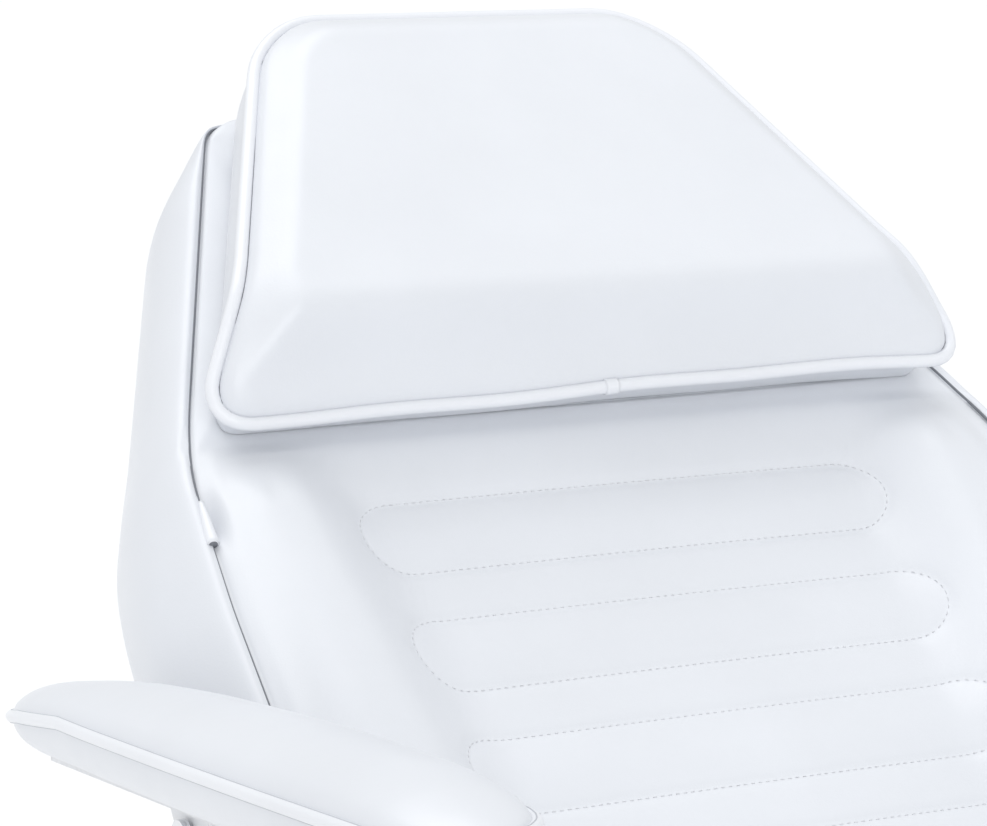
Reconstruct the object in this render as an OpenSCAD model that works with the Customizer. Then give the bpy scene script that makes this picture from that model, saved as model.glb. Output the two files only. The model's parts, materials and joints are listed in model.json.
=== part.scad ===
// Reclining treatment chair: round foot, hydraulic foot pump, swivelling seat frame,
// tilting backrest and leg rest, two flip-up armrests and a sliding head pillow.
// Millimetres, +Z up. The sitter faces -Y. The origin is on the floor, on the swivel axis.

/* [Posture] */
// Angle of the backrest above the horizontal, as stored
back_angle = 40; // [0:1:75]
// Angle of the leg rest below the horizontal, as stored
leg_angle = 32; // [0:1:65]
// Slope of the armrests, rising to the front
arm_slope = 4.7; // [0:0.1:8]

/* [Seat and pivots] */
// Height of the seat surface with the pump fully down
seat_h = 610; // [590:1:660]
// Depth of both tilt axes under the padded surfaces
pivot_drop = 75; // [70:1:80]
// Distance of the backrest's tilt axis behind the swivel axis
back_pivot_y = 230; // [220:1:240]
// Distance of the leg rest's tilt axis in front of the swivel axis
leg_pivot_y = 379; // [369:1:389]
// Half width of the seat cushion
seat_hw = 252; // [250:1:256]

/* [Backrest] */
// Length of the backrest from its tilt axis to the top
back_len = 775; // [765:1:790]
// Distance from the tilt axis to the foot of the head pillow
pillow_s = 510; // [500:1:515]
// Half width at the top edge
back_top_hw = 148; // [135:1:155]
// Half width at the foot of the head pillow
back_neck_hw = 266; // [255:1:270]
// Half width at the side wings
back_wing_hw = 284; // [270:1:286]
// Half width beside the hinge arms
back_foot_hw = 248.4; // [240:0.1:248.6]
// Thickness of the padding in front of the board
pad_t = 85; // [80:1:90]

/* [Head pillow] */
// Length of the pillow along the backrest
pillow_len = 276; // [260:1:285]
// Height of the pillow's raised plateau
pillow_h = 76; // [60:1:80]
// Height of the pillow's piping over the backrest, along the top and sides
pillow_rim_h = 58; // [40:1:60]

/* [Leg rest] */
// Length of the leg rest from its tilt axis
leg_len = 470; // [440:1:500]
// Half width of the leg rest's far end
leg_end_hw = 226; // [210:1:240]

/* [Armrests] */
// Sideways distance of the armrest's middle from the chair's middle
arm_x = 338; // [336:1:345]
// Armrest tilt axis: distance behind the swivel axis
arm_pivot_y = 330; // [325:1:335]
// Armrest tilt axis: height over the floor
arm_pivot_z = 783; // [775:1:790]

/* [Foot and pump] */
// Radius of the round foot
foot_r = 300; // [280:1:320]
// Thickness of the steel foot plate
foot_t = 10; // [8:1:12]
// Radius of the chromed ram
ram_r = 25; // [24:0.5:26]
// Radius of the pump's outer barrel
barrel_r = 38; // [37:1:39]

/* [Frame] */
// Height of the side rails' section
rail_h = 40; // [36:1:44]
// Wall thickness of the steel tubes
tube_wall = 2; // [1.5:0.5:3]
// Thickness of the plywood boards
board_t = 12; // [10:1:12]
// Radius of the tilt pins
pin_r = 8; // [7.5:0.5:8]

/* [Hidden] */
$fn = 64;

white_vinyl = [0.94, 0.95, 0.97];
white_paint = [0.9, 0.91, 0.93];
chrome = [0.8, 0.82, 0.85];
steel = [0.6, 0.62, 0.65];
dark = [0.12, 0.12, 0.13];
wood = [0.76, 0.62, 0.44];

running = 0.05;             // radial play of a running fit
side_gap = 2;               // sideways play between hinge plates
plate_t = 8;                // hinge plates
pivot_z = seat_h - pivot_drop;
rail_in = 230;              // inner face of a side rail
rail_out = 260;             // outer face of a side rail
rail_top = pivot_z - 42;
rail_bot = rail_top - rail_h;
seat_back_y = back_pivot_y - pivot_drop - 4;
seat_front_y = -leg_pivot_y + pivot_drop + 4;
arm_in = rail_out - side_gap - plate_t;   // inner face of a hinge arm
pad_n = pivot_drop - pad_t;               // back of the padding over the board
board_n = pad_n - board_t;                // back of the board
cover_t = 3;
cover_n = board_n - cover_t;              // back of the rear cover
back_rail_h = 30;
back_rail_w = 25;
back_rail_end = 445;                      // upper ends of the backrest's rails
leg_rail_h = 22;
thin_s = pillow_s - 10;                   // where the backrest starts to thin out
cross_h = 30;
cross_y = [-285, -125, 95];               // front faces of the cross tubes
barrel_top = 278;
gland_top = 296;
reservoir_r = 65;
reservoir_top = 190;
flange_r = 88;
bolt_ring_r = 76;
ram_top = rail_top - 57;
plate_z = rail_top - cross_h - 8;         // underside of the swivel plate
pedal_y = 92;
pedal_z = 112;
plunger_y = 124;
plunger_r = 6;
dome_drop = 14.75;
lever_bore_r = 6 + running;
arm_bottom = 21;            // underside of an armrest cushion over its tilt axis
arm_rim = 48;               // piping of an armrest cushion over its tilt axis
arm_top = 76;               // crown of an armrest cushion over its tilt axis

// Back face of the thinning head end of the backrest, at a distance s along the back
function rear_n(s) = board_n + (s - thin_s) * (-2 - board_n) / (back_len - thin_s);

// ---- helpers ----

// Children in the backrest's frame: Y along the back, Z out of the padding, on the tilt axis.
module on_back() {
    translate([0, back_pivot_y, pivot_z]) rotate([back_angle, 0, 0]) children();
}

// Children in the leg rest's frame: -Y along the leg rest, Z out of the padding.
module on_leg() {
    translate([0, -leg_pivot_y, pivot_z]) rotate([leg_angle, 0, 0]) children();
}

// Children in the frame of the right armrest; side = -1 mirrors to the left.
module on_armrest(side) {
    translate([side * arm_x, arm_pivot_y, arm_pivot_z]) rotate([-arm_slope, 0, 0])
        scale_x(side) children();
}

module scale_x(side) {
    if (side > 0) children();
    else mirror([1, 0, 0]) children();
}

module both_sides() {
    children();
    mirror([1, 0, 0]) children();
}

// Cylinder along X from x0 to x1
module rod_x(x0, x1, r) {
    translate([x0, 0, 0]) rotate([0, 90, 0]) cylinder(h = x1 - x0, r = r);
}

// Flat plate of thickness x1 - x0 whose outline is given in Y and Z
module plate_x(x0, x1, pts) {
    translate([x0, 0, 0]) rotate([90, 0, 90]) linear_extrude(height = x1 - x0) polygon(pts);
}

module box(lo, hi) {
    translate(lo) cube(hi - lo);
}

// Rectangular tube along the axis "x" or "y"
module tube_box(lo, hi, axis) {
    w = tube_wall;
    cut = (axis == "x") ? [1, -w, -w] : [-w, 1, -w];
    difference() {
        box(lo, hi);
        box(lo - cut, hi + cut);
    }
}

function arc(cx, cy, r, a0, a1, n) = [for (i = [0:n]) let (a = a0 + (a1 - a0) * i / n)
    [cx + r * cos(a), cy + r * sin(a)]];

// ---- foot and pump ----

module base_plate() {
    color(steel) difference() {
        cylinder(h = foot_t, r = foot_r, $fn = 128);
        for (a = [45:90:315])
            rotate(a) translate([bolt_ring_r, 0, 4]) cylinder(h = foot_t, r = 4 + running);
    }
}

module base_rim() {
    color(dark) rotate_extrude($fn = 128)
        polygon([[foot_r + 0.1, 0], [foot_r + 5, 0], [foot_r + 7, 3], [foot_r + 7, 10],
            [foot_r + 5, 14], [foot_r - 4, 14], [foot_r - 4, foot_t + 0.1],
            [foot_r + 0.1, foot_t + 0.1]]);
}

module base_cover() {
    neck = reservoir_r + 1.5;
    color(chrome) rotate_extrude($fn = 128) polygon([[foot_r - 6, foot_t + 0.2],
        [foot_r - 6, foot_t + 4], [240, 26], [180, 34], [120, 42], [neck + 14, 47],
        [neck + 4, 51], [neck + 2, 56], [neck, 56], [neck, 51], [neck + 3, 49],
        [neck + 14, 45], [120, 40], [180, 32], [240, 24], [foot_r - 9, foot_t + 2.2],
        [foot_r - 9, foot_t + 0.2]]);
}

module pump_reservoir() {
    color(steel) difference() {
        union() {
            translate([0, 0, foot_t]) cylinder(h = 14, r = flange_r);
            translate([0, 0, foot_t]) cylinder(h = reservoir_top - foot_t, r = reservoir_r);
        }
        translate([0, 0, 20]) cylinder(h = 200, r = barrel_r + running);
        translate([0, 0, 30]) cylinder(h = reservoir_top - 42, r = reservoir_r - 7);
        for (a = [45:90:315])
            rotate(a) translate([bolt_ring_r, 0, 0]) cylinder(h = 30, r = 4.3);
    }
}

module pump_barrel() {
    color(chrome) difference() {
        translate([0, 0, 20]) cylinder(h = barrel_top - 20, r = barrel_r);
        translate([0, 0, 30]) cylinder(h = 300, r = barrel_r - 4);
    }
}

module gland_nut() {
    color(steel) difference() {
        translate([0, 0, barrel_top]) cylinder(h = gland_top - barrel_top, r = barrel_r + 6);
        translate([0, 0, barrel_top - 1]) cylinder(h = 40, r = ram_r + running);
        translate([0, 0, gland_top - 6]) cylinder(h = 10, r = ram_r + 5);
    }
}

module ram_wiper() {
    color(dark) difference() {
        translate([0, 0, gland_top - 6]) cylinder(h = 7, r = ram_r + 5 - running);
        translate([0, 0, gland_top - 7]) cylinder(h = 20, r = ram_r + 0.3);
    }
}

module pump_bolts() {
    color(steel) for (a = [45:90:315]) rotate(a) translate([bolt_ring_r, 0, 0]) {
        translate([0, 0, 4.5]) cylinder(h = 24, r = 4);
        translate([0, 0, foot_t + 14]) cylinder(h = 6, r = 7.5, $fn = 6);
    }
}

// ---- foot pedal ----

module pedal_bracket() {
    color(steel) difference() {
        union() {
            box([-16, reservoir_r - 7, 58], [16, 142, 86]);
            both_sides() box([12.2, 76, 86], [20, 108, 128]);
        }
        cylinder(h = 200, r = reservoir_r + 0.1);
        translate([0, plunger_y, 50]) cylinder(h = 60, r = plunger_r + running);
        translate([0, pedal_y, pedal_z]) rod_x(-30, 30, pin_r + running);
    }
}

module pedal_shaft() {
    color(chrome) translate([0, pedal_y, pedal_z]) {
        rod_x(-22, 22, pin_r);
        both_sides() rod_x(21, 25, pin_r + 4);
    }
}

module pedal_arm() {
    color(chrome) difference() {
        union() {
            translate([0, pedal_y, pedal_z]) rod_x(-11.8, 11.8, 15);
            plate_x(-10, 10, [[pedal_y + 8, pedal_z - 8], [250, pedal_z - 12],
                [326, pedal_z - 16], [385, pedal_z - 16], [385, pedal_z - 8],
                [326, pedal_z - 8], [250, pedal_z - 2], [pedal_y + 8, pedal_z + 4]]);
        }
        translate([0, pedal_y, pedal_z]) rod_x(-30, 30, pin_r + running);
    }
}

module pedal_pad() {
    color(dark) difference() {
        hull() {
            for (x = [-36, 36], y = [338, 392])
                translate([x, y, pedal_z - 20]) cylinder(h = 16, r = 8, $fn = 24);
            for (x = [-34, 34], y = [340, 390])
                translate([x, y, pedal_z - 2]) cylinder(h = 2, r = 8, $fn = 24);
        }
        box([-10.1, 300, pedal_z - 16.1], [10.1, 385.1, pedal_z - 7.9]);
    }
}

module pump_plunger() {
    color(chrome) {
        translate([0, plunger_y, 64]) cylinder(h = pedal_z - dome_drop - 64, r = plunger_r);
        translate([0, plunger_y, pedal_z - dome_drop]) sphere(r = plunger_r);
    }
}

// ---- ram and swivel ----

module ram() {
    color(chrome) translate([0, 0, 60]) cylinder(h = ram_top - 60, r = ram_r);
}

module ram_piston() {
    color(dark) translate([0, 0, 40]) cylinder(h = 20, r = barrel_r - 4 - running);
}

module thrust_washer() {
    color(steel) translate([0, 0, ram_top]) cylinder(h = 4, r = ram_r - 1);
}

module swivel_head() {
    color(steel) difference() {
        union() {
            translate([0, 0, ram_top - 42]) cylinder(h = plate_z - ram_top + 42, r = 45);
            translate([0, 0, plate_z - 10]) cylinder(h = 10, r = 80);
        }
        translate([0, 0, ram_top - 50]) cylinder(h = 50 + 4 + running, r = ram_r + running);
    }
}

module ram_shroud() {
    color(chrome) rotate_extrude() polygon([[54, 196], [56, 196], [56, ram_top - 32],
        [45.1, ram_top - 32], [45.1, ram_top - 35], [54, ram_top - 35]]);
}

module swivel_plate() {
    color(white_paint) difference() {
        box([-120, -130, plate_z], [120, 130, plate_z + 8]);
        for (x = [-100, 100], y = [-110, 110])
            translate([x, y, plate_z - 1]) cylinder(h = 10, r = 4.3);
    }
}

// Bolts that hold the swivel plate to the cross tubes: heads under the plate
module frame_bolts() {
    color(steel) for (x = [-100, 100], y = [-110, 110]) translate([x, y, 0]) {
        translate([0, 0, plate_z - 6]) cylinder(h = 6, r = 7.5, $fn = 6);
        translate([0, 0, plate_z - 6]) cylinder(h = 6 + 8 + tube_wall, r = 4);
    }
}

// ---- seat frame ----

module side_rail() {
    color(white_paint) tube_box([rail_in, seat_front_y, rail_bot],
        [rail_out, seat_back_y - 1, rail_top], "y");
}

module side_rail_right() { side_rail(); }
module side_rail_left() { mirror([1, 0, 0]) side_rail(); }

module cross_tubes() {
    color(white_paint) for (y = cross_y) difference() {
        tube_box([-rail_in, y, rail_top - cross_h], [rail_in, y + 30, rail_top], "x");
        for (x = [-100, 100], by = [-110, 110])
            translate([x, by, plate_z]) cylinder(h = 8 + tube_wall + 3, r = 4.3);
    }
}

module rail_caps() {
    w = tube_wall + 0.2;
    color(dark) both_sides() for (end = [[seat_front_y, -1], [seat_back_y - 1, 1]]) {
        y = end[0];
        out = 3 * end[1];
        box([rail_in, min(y, y + out), rail_bot], [rail_out, max(y, y + out), rail_top]);
        box([rail_in + w, min(y, y - 4 * out), rail_bot + w],
            [rail_out - w, max(y, y - 4 * out), rail_top - w]);
    }
}

module seat_board() {
    color(wood) box([-seat_hw + 4, seat_front_y + 8, rail_top],
        [seat_hw - 4, seat_back_y - 6, rail_top + board_t]);
}

module seat_cushion() {
    r = 26;
    front = seat_front_y;
    rear = seat_back_y;
    color(white_vinyl) difference() {
        plate_x(-seat_hw, seat_hw, concat([[rear, rail_top + 1]],
            arc(rear - r, seat_h - r, r, 0, 90, 6),
            arc(front + r, seat_h - r, r, 90, 180, 6), [[front, rail_top + 1]]));
        box([-seat_hw + 3.8, front + 7.8, rail_top - 5],
            [seat_hw - 3.8, rear - 5.8, rail_top + board_t + 0.2]);
    }
}

// Hinge plate bolted to the outside of a side rail: y0..y1 is its foot, py its tilt axis
module ear(py, y0, y1) {
    dir = (py > y1) ? 1 : -1;
    near = (dir > 0) ? y1 : y0;
    far = (dir > 0) ? y0 : y1;
    color(white_paint) difference() {
        union() {
            plate_x(rail_out, rail_out + plate_t, [[far, rail_bot + 2], [near, rail_bot + 2],
                [py + dir * 18, pivot_z - 19], [py - dir * 16, pivot_z + 20],
                [near - dir * 20, rail_top - 2], [far, rail_top - 2]]);
            translate([0, py, pivot_z]) rod_x(rail_out, rail_out + plate_t, 26);
        }
        translate([0, py, pivot_z]) rod_x(rail_out - 5, rail_out + 20, pin_r + running);
    }
}

module back_ears() { both_sides() ear(back_pivot_y, 40, seat_back_y - 6); }
module leg_ears() { both_sides() ear(-leg_pivot_y, seat_front_y + 6, -190); }

module pivot_pins() {
    color(chrome) both_sides() for (y = [back_pivot_y, -leg_pivot_y])
        translate([0, y, pivot_z]) {
            rod_x(arm_in + 0.4, rail_out + plate_t + 1, pin_r);
            rod_x(rail_out + plate_t, rail_out + plate_t + 5, pin_r + 5);
        }
}

// Round recliner locks on the right side, over the tilt pins, each with a stub for its lever
module recliner_housings() {
    x0 = rail_out + plate_t;
    color(steel) for (y = [back_pivot_y, -leg_pivot_y]) translate([0, y, pivot_z])
        difference() {
            union() {
                rod_x(x0, x0 + 14, 32);
                rod_x(x0 + 14, x0 + 17, 26);
                rod_x(x0 + 14, x0 + 30, 6);
            }
            rod_x(x0 - 1, x0 + 6, pin_r + 6);
        }
}

// Release lever on a recliner lock; reach and drop place the knob end from the stub
module release_lever(y, dir) {
    x0 = rail_out + plate_t + 17.5;
    color(chrome) translate([0, y, pivot_z]) difference() {
        union() {
            rod_x(x0, x0 + 6, 14);
            plate_x(x0, x0 + 6, [[0, -9], [0, 9], [dir * 96, -22], [dir * 96, -36]]);
            translate([0, dir * 96, -29]) rod_x(x0, x0 + 6, 8);
            translate([0, dir * 96, -29]) rod_x(x0 + 5, x0 + 16, 5);
        }
        rod_x(x0 - 2, x0 + 10, lever_bore_r);
    }
}

module lever_knob(y, dir) {
    x0 = rail_out + plate_t + 17.5 + 6.3;
    color(dark) translate([0, y + dir * 96, pivot_z - 29]) difference() {
        translate([x0, 0, 0]) rotate([0, 90, 0]) rotate_extrude($fn = 48)
            polygon([[0, 0], [7, 0], [12, 5], [13, 16], [11, 25], [6, 29], [0, 30]]);
        rod_x(x0 - 1, x0 + 10, 5 + running);
    }
}

module back_release_lever() { release_lever(back_pivot_y, -1); }
module leg_release_lever() { release_lever(-leg_pivot_y, 1); }
module back_lever_knob() { lever_knob(back_pivot_y, -1); }
module leg_lever_knob() { lever_knob(-leg_pivot_y, 1); }

// ---- armrest posts ----

// Flat post 20 thick beside the backrest, with a stop shoulder in front of the tilt axis
module armrest_post() {
    y = arm_pivot_y;
    z = arm_pivot_z;
    color(white_paint) difference() {
        union() {
            plate_x(arm_x - 10, arm_x + 10, [[y + 13, z], [y + 13, z - 150],
                [y - 20, z - 215], [160, 500], [125, 458], [75, 458], [75, 490],
                [y - 75, z - 200], [y - 38, z - 140], [y - 38, z + 16.5], [y - 16, z + 14.5],
                [y - 12, z + 4]]);
            translate([0, y, z]) rod_x(arm_x - 10, arm_x + 10, 13);
            box([rail_out + plate_t, 78, 460], [arm_x - 9, 118, 488]);
        }
        translate([0, y, z]) rod_x(arm_x - 20, arm_x + 20, 6 + running);
    }
}

module armrest_post_right() { armrest_post(); }
module armrest_post_left() { mirror([1, 0, 0]) armrest_post(); }

module armrest_pins() {
    color(chrome) both_sides() translate([0, arm_pivot_y, arm_pivot_z]) {
        rod_x(arm_x - 16.5, arm_x + 16.5, 6);
        rod_x(arm_x - 20, arm_x - 16, 9);
        rod_x(arm_x + 16, arm_x + 20, 9);
    }
}

// ---- backrest ----

module back_arm() {
    color(white_paint) on_back() difference() {
        union() {
            rod_x(arm_in, arm_in + plate_t, 24);
            plate_x(arm_in, arm_in + plate_t, [[-16, -16], [46, cover_n - 28],
                [180, cover_n - 28], [180, cover_n - 2], [74, cover_n - 2], [16, 18]]);
        }
        rod_x(arm_in - 5, arm_in + 20, pin_r + running);
    }
}

module back_arm_right() { back_arm(); }
module back_arm_left() { mirror([1, 0, 0]) back_arm(); }

module back_rail() {
    color(white_paint) on_back() tube_box([arm_in - back_rail_w, 62, cover_n - back_rail_h],
        [arm_in, back_rail_end, cover_n], "y");
}

module back_rail_right() { back_rail(); }
module back_rail_left() { mirror([1, 0, 0]) back_rail(); }

module back_cross_tubes() {
    x = arm_in - back_rail_w;
    color(white_paint) on_back() for (s = [66, 250, back_rail_end - 30])
        tube_box([-x, s, cover_n - back_rail_h + 5], [x, s + 25, cover_n], "x");
}

// Outline of the backrest, grown by g: half widths at distances along the back
function back_outline(g) = let (w = back_foot_hw + g, m = 60, top = back_len + g, r = 40)
    [[w, -90], [w, m], [back_wing_hw - 22 + g, m + 90], [back_wing_hw - 4 + g, 230],
        [back_wing_hw + g, 330], [back_wing_hw - 4 + g, 410], [back_neck_hw + 8 + g, 480],
        [back_neck_hw + g, pillow_s], [back_top_hw + 22 + g, top - r],
        [back_top_hw + 12 + g, top - 16], [back_top_hw - 12 + g, top - 2],
        [back_top_hw - 40, top]];

module back_shape(g) {
    pts = back_outline(g);
    n = len(pts);
    polygon(concat(pts, [for (i = [1:n]) [-pts[n - i][0], pts[n - i][1]]]));
}

// Side profile of the padding: round lower end about the tilt axis, thinner at the top
module back_profile() {
    r = pivot_drop;
    plate_x(-300, 300, concat(arc(0, 0, r, 90, 180 + asin(-board_n / r), 10),
        [[thin_s, board_n], [back_len, rear_n(back_len)], [back_len, r - 13],
            [back_len - 12, r]]));
}

module back_board() {
    color(wood) on_back() translate([0, 0, board_n]) intersection() {
        linear_extrude(height = board_t) back_shape(-10);
        box([-300, 20, -1], [300, pillow_s - 25, 20]);
    }
}

module back_cover() {
    color(white_vinyl) on_back() translate([0, 0, cover_n]) intersection() {
        linear_extrude(height = cover_t) back_shape(-5);
        box([-300, 14, -1], [300, pillow_s - 12, 20]);
    }
}

module back_cushion() {
    color(white_vinyl) on_back() difference() {
        intersection() {
            translate([0, 0, board_n - 5]) linear_extrude(height = 200) back_shape(0);
            back_profile();
        }
        translate([0, 0, board_n - 10]) intersection() {
            linear_extrude(height = board_t + 10.2) back_shape(-9.8);
            box([-300, 19.8, -1], [300, pillow_s - 24.8, 40]);
        }
    }
}

// ---- head pillow ----

// Rounded trapezoid of the pillow: foot and top half widths w0 and w1 from s0 to s1
module pillow_slice(w0, w1, s0, s1, r0, r1, n, t) {
    for (side = [-1, 1]) {
        translate([side * (w0 - r0), pillow_s + s0 + r0, pivot_drop + n])
            cylinder(h = t, r = r0, $fn = 32);
        translate([side * (w1 - r1), pillow_s + s1 - r1, pivot_drop + n])
            cylinder(h = t, r = r1, $fn = 32);
    }
}

module headrest_pillow() {
    color(white_vinyl) on_back() hull() {
        pillow_slice(238, 128, 8, pillow_len - 6, 22, 38, 1, 4);
        pillow_slice(246, 170, 2, 190, 24, 38, 26, 6);
        pillow_slice(222, 132, 66, pillow_len, 24, 40, pillow_rim_h - 4, 6);
        pillow_slice(196, 108, 46, pillow_len - 24, 30, 40, pillow_h - 2, 2);
    }
}

// Vinyl flap from the pillow over the top edge, held behind by hook-and-loop tape
module headrest_flap() {
    t = 2;
    s = back_len + 2;
    end = s - 100;
    n = pivot_drop + 0.7;
    color(white_vinyl) on_back() plate_x(-60, 60, [[s, n], [s + t, n], [s + t, -4],
        [s - 2, rear_n(s - 2) - 0.8 - t], [end, rear_n(end) - 0.8 - t],
        [end, rear_n(end) - 0.8], [s - 4, rear_n(s - 4) - 0.8], [s, -3]]);
}

// ---- leg rest ----

module leg_arms() {
    color(white_paint) on_leg() both_sides() difference() {
        union() {
            rod_x(arm_in, arm_in + plate_t, 24);
            plate_x(arm_in, arm_in + plate_t, [[16, -16], [-46, cover_n - 20],
                [-170, cover_n - 20], [-170, cover_n - 2], [-74, cover_n - 2], [-16, 18]]);
        }
        rod_x(arm_in - 5, arm_in + 20, pin_r + running);
    }
}

module leg_rails() {
    color(white_paint) on_leg() both_sides()
        tube_box([arm_in - back_rail_w, -380, cover_n - leg_rail_h], [arm_in, -62, cover_n], "y");
}

module leg_cross_tubes() {
    x = arm_in - back_rail_w;
    color(white_paint) on_leg() for (s = [90, 350])
        tube_box([-x, -s, cover_n - leg_rail_h + 2], [x, -s + 22, cover_n], "x");
}

function leg_outline(g) = let (w = back_foot_hw + g, e = leg_end_hw + g, f = -leg_len - g, r = 46)
    concat([[w, 90], [w, -330]], arc(e - r, f + r, r, 0, -90, 6));

module leg_shape(g) {
    pts = leg_outline(g);
    n = len(pts);
    polygon(concat(pts, [for (i = [1:n]) [-pts[n - i][0], pts[n - i][1]]]));
}

module leg_profile() {
    r = pivot_drop;
    q = 24;
    plate_x(-300, 300, concat(arc(0, 0, r, asin(board_n / r), 90, 10),
        arc(-leg_len + q, r - q, q, 90, 180, 6), [[-leg_len, board_n]]));
}

module leg_board() {
    color(wood) on_leg() translate([0, 0, board_n]) intersection() {
        linear_extrude(height = board_t) leg_shape(-10);
        box([-300, -600, -1], [300, -20, 20]);
    }
}

module leg_cover() {
    color(white_vinyl) on_leg() translate([0, 0, cover_n]) intersection() {
        linear_extrude(height = cover_t) leg_shape(-5);
        box([-300, -600, -1], [300, -14, 20]);
    }
}

module leg_cushion() {
    color(white_vinyl) on_leg() difference() {
        intersection() {
            translate([0, 0, board_n - 5]) linear_extrude(height = 200) leg_shape(0);
            leg_profile();
        }
        translate([0, 0, board_n - 10]) intersection() {
            linear_extrude(height = board_t + 10.2) leg_shape(-9.8);
            box([-300, -600, -1], [300, -19.8, 40]);
        }
    }
}

// ---- armrests: right side, X outwards from the armrest's middle, Y backwards ----

module armrest_pan(side) {
    color(white_paint) on_armrest(side) difference() {
        union() {
            box([-27, -210, arm_bottom - 4.3], [27, 150, arm_bottom - 0.3]);
            for (x = [-14, 11])
                plate_x(x, x + 3, [[-14, -4], [14, -4], [28, arm_bottom - 4],
                    [-28, arm_bottom - 4]]);
            for (x = [-14, 11]) rod_x(x, x + 3, 14);
        }
        rod_x(-30, 30, 6 + running);
    }
}

// Level slice of the leaf-shaped armrest, pulled in by g, t thick
module arm_slice(g, z, t) {
    for (c = [[16, 200, 24], [2, 80, 42], [0, -60, 46], [4, -190, 42], [12, -270, 32]])
        translate([c[0], c[1], z]) cylinder(h = t, r = c[2] - g, $fn = 32);
}

module armrest_cushion(side) {
    color(white_vinyl) on_armrest(side) hull() {
        arm_slice(16, arm_bottom, 2);
        arm_slice(0, arm_rim - 6, 12);
        arm_slice(22, arm_top - 2, 2);
    }
}

module armrest_pan_right() { armrest_pan(1); }
module armrest_pan_left() { armrest_pan(-1); }
module armrest_cushion_right() { armrest_cushion(1); }
module armrest_cushion_left() { armrest_cushion(-1); }

base_plate();
base_rim();
base_cover();
pump_reservoir();
pump_barrel();
gland_nut();
ram_wiper();
pump_bolts();
pedal_bracket();
pedal_shaft();
pedal_arm();
pedal_pad();
pump_plunger();
ram();
ram_piston();
thrust_washer();
swivel_head();
ram_shroud();
swivel_plate();
frame_bolts();
side_rail_left();
side_rail_right();
cross_tubes();
rail_caps();
seat_board();
seat_cushion();
back_ears();
leg_ears();
pivot_pins();
recliner_housings();
armrest_post_left();
armrest_post_right();
armrest_pins();
back_release_lever();
leg_release_lever();
back_lever_knob();
leg_lever_knob();
back_arm_left();
back_arm_right();
back_rail_left();
back_rail_right();
back_cross_tubes();
back_board();
back_cover();
back_cushion();
headrest_pillow();
headrest_flap();
leg_arms();
leg_rails();
leg_cross_tubes();
leg_board();
leg_cover();
leg_cushion();
armrest_pan_left();
armrest_pan_right();
armrest_cushion_left();
armrest_cushion_right();
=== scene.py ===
import json
import math

import bmesh
import bpy
import numpy as np
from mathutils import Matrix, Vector


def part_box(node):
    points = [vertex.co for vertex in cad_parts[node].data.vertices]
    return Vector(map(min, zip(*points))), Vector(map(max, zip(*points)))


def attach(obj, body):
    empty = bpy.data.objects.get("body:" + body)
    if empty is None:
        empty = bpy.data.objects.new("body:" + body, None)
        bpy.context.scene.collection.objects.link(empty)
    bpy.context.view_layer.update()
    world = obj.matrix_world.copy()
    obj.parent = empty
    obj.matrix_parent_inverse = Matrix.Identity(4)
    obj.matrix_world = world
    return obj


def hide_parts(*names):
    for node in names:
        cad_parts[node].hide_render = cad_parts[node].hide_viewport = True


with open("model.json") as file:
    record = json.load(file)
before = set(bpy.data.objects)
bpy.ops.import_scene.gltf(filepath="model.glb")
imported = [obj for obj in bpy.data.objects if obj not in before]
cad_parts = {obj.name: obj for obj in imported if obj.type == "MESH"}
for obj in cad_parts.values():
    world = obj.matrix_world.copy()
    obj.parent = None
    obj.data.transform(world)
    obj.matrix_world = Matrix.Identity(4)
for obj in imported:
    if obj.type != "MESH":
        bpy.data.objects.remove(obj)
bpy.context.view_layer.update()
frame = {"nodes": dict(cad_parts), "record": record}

# Looks of a reclining treatment chair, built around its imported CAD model. Padded forms are drawn in
# millimetres in the frames of the parts that carry them; everything else is in metres.

MM = 0.001


# ---------------------------------------------------------------- places

class Place:
    """A working frame: x across the chair, s along a panel and n out of it, all in millimetres."""

    def __init__(self, origin, s_axis, n_axis, x_axis=(1, 0, 0)):
        self.origin = np.array(origin, float)
        self.axes = np.array([x_axis, s_axis, n_axis], float)

    def world(self, x, s, n):
        pts = np.stack(np.broadcast_arrays(x, s, n), axis=-1) * MM
        return self.origin + pts @ self.axes


def joint(name):
    return next(j for j in frame["record"]["behaviour"]["joints"] if j["name"] == name)


def tilted(origin, angle, sign=1):
    """Place whose s axis runs backwards (sign 1) or forwards (-1), rising by angle."""
    c, t = math.cos(angle), math.sin(angle)
    return Place(origin, (0, sign * c, t), (0, -sign * t, c))


slide_axis = joint("headrest_slide")["axis"]
BACK_ANGLE = math.atan2(slide_axis[2], slide_axis[1])
LEG_ANGLE = math.radians(joint("leg_lift")["range_deg"][1])
ARM_SLOPE = math.radians(4.7)
back = tilted(joint("back_recline")["pos_m"], BACK_ANGLE)
leg = tilted(joint("leg_lift")["pos_m"], -LEG_ANGLE, sign=-1)
SURFACE = 75.0          # padded surfaces over the tilt axes
PILLOW_S = 510.0        # foot of the head pillow along the backrest
BACK_LEN = 775.0        # top edge of the backrest
BACK_END = BACK_LEN - 4     # its last row, inside the seam
BACK_CORNER = 22.0
LEG_END = 456.0         # last row of the leg rest
LEG_CORNER = 44.0
BOARD_N = -22.0         # back of the boards under the padding
PAD_FOOT_N = -22.5      # the covers are pulled round the edges of the boards
STITCH_PITCH = 4.6


# ---------------------------------------------------------------- materials

def material(name):
    """A new node-based material, with its tree and its main shader."""
    mat = bpy.data.materials.new(name)
    mat.use_nodes = True
    tree = mat.node_tree
    return mat, tree, tree.nodes["Principled BSDF"]


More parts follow.
